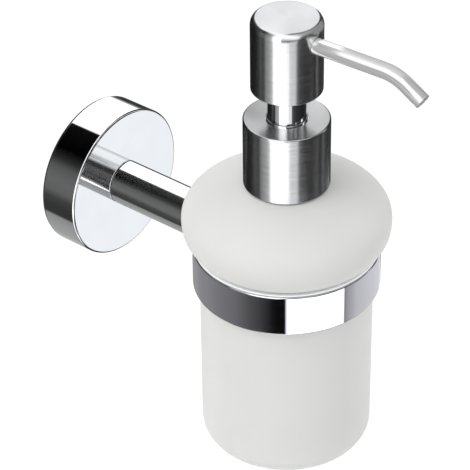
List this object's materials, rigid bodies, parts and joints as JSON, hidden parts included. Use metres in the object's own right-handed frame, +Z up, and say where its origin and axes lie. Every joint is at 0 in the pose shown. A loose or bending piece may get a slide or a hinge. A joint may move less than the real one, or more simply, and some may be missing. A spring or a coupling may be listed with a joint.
{
  "type": "wall mounted soap dispenser",
  "caption": "Wall mounted soap dispenser: round flange and straight arm with a band ring holding a lift-out frosted glass bottle with a sprung press pump and swivelling spout.",
  "frame": {"origin": "centre of the wall bracket's back face, on the wall, level with the arm's axis", "axes": "+Y into the wall, -Y out along the arm, +Z up along the bottle, +X to the right seen from in front of the wall"},
  "size_m": [0.0714, 0.1436, 0.1685],
  "materials": {
    "chrome": "polished chrome plate",
    "brushed_steel": "brushed round the axis, satin",
    "spout_steel": "bright drawn tube",
    "zinc_steel": "zinc plated",
    "spring_steel": "bright wire",
    "ball_steel": "polished",
    "brass": "machined",
    "frosted_glass": "satin etched outside",
    "clear_plastic": "translucent",
    "white_plastic": "moulded",
    "natural_plastic": "unpigmented moulding",
    "black_rubber": "moulded"
  },
  "bodies": {
    "holder": {"wall_bracket": "zinc_steel", "wall_screw_left": "zinc_steel", "wall_screw_right": "zinc_steel", "wall_flange": "chrome", "grub_screw": "zinc_steel", "arm_bolt": "zinc_steel", "arm_washer": "zinc_steel", "arm_insert": "brass", "arm_tube": "chrome", "arm_end_plug": "brass", "holder_ring": "chrome", "ring_liner": "clear_plastic"},
    "bottle": {"glass_bottle": "frosted_glass"},
    "neck_seal": {"neck_gasket": "black_rubber"},
    "pump": {"pump_housing": "natural_plastic", "dip_tube": "natural_plastic", "rod_guide": "white_plastic", "stem_bush": "chrome", "ball_retainer": "white_plastic", "return_spring": "spring_steel"},
    "closure": {"closure_cap": "white_plastic", "collar_shell": "brushed_steel"},
    "plunger": {"piston_seal": "white_plastic"},
    "head": {"piston_rod": "natural_plastic", "stem_sleeve": "chrome", "head_core": "white_plastic", "head_shell": "brushed_steel", "spout_tube": "spout_steel", "spout_seal": "black_rubber"},
    "inlet_valve": {"inlet_ball": "ball_steel"},
    "outlet_valve": {"outlet_ball": "ball_steel"}
  },
  "joints": [
    {"name": "bottle_lift", "type": "slide", "parent": "holder", "child": "bottle", "axis": [0, 0, 1], "range_m": [0, 0.086]},
    {"name": "pump_lift", "type": "slide", "parent": "bottle", "child": "neck_seal", "axis": [0, 0, 1], "range_m": [0, 0.116]},
    {"name": "cap_rise", "type": "slide", "parent": "neck_seal", "child": "pump", "axis": [0, 0, 1], "range_m": [0, 0.0048]},
    {"name": "closure_turn", "type": "hinge", "parent": "pump", "child": "closure", "pos_m": [0, -0.0885, 0.0561], "axis": [0, 0, 1], "range_deg": [0, 540]},
    {"name": "pump_press", "type": "slide", "parent": "pump", "child": "plunger", "axis": [0, 0, -1], "range_m": [0, 0.011], "stiffness_N_per_m": 450, "springref_m": -0.012, "deforming": ["return_spring"]},
    {"name": "head_swivel", "type": "hinge", "parent": "plunger", "child": "head", "pos_m": [0, -0.0885, 0.08], "axis": [0, 0, 1], "continuous": true},
    {"name": "inlet_valve_lift", "type": "slide", "parent": "pump", "child": "inlet_valve", "axis": [0, 0, 1], "range_m": [0, 0.0014]},
    {"name": "outlet_valve_lift", "type": "slide", "parent": "head", "child": "outlet_valve", "axis": [0, 0, 1], "range_m": [0, 0.0013]}
  ],
  "couplings": [
    {"joint": "cap_rise", "follows": "closure_turn", "m_per_rad": 0.00050532}
  ]
}
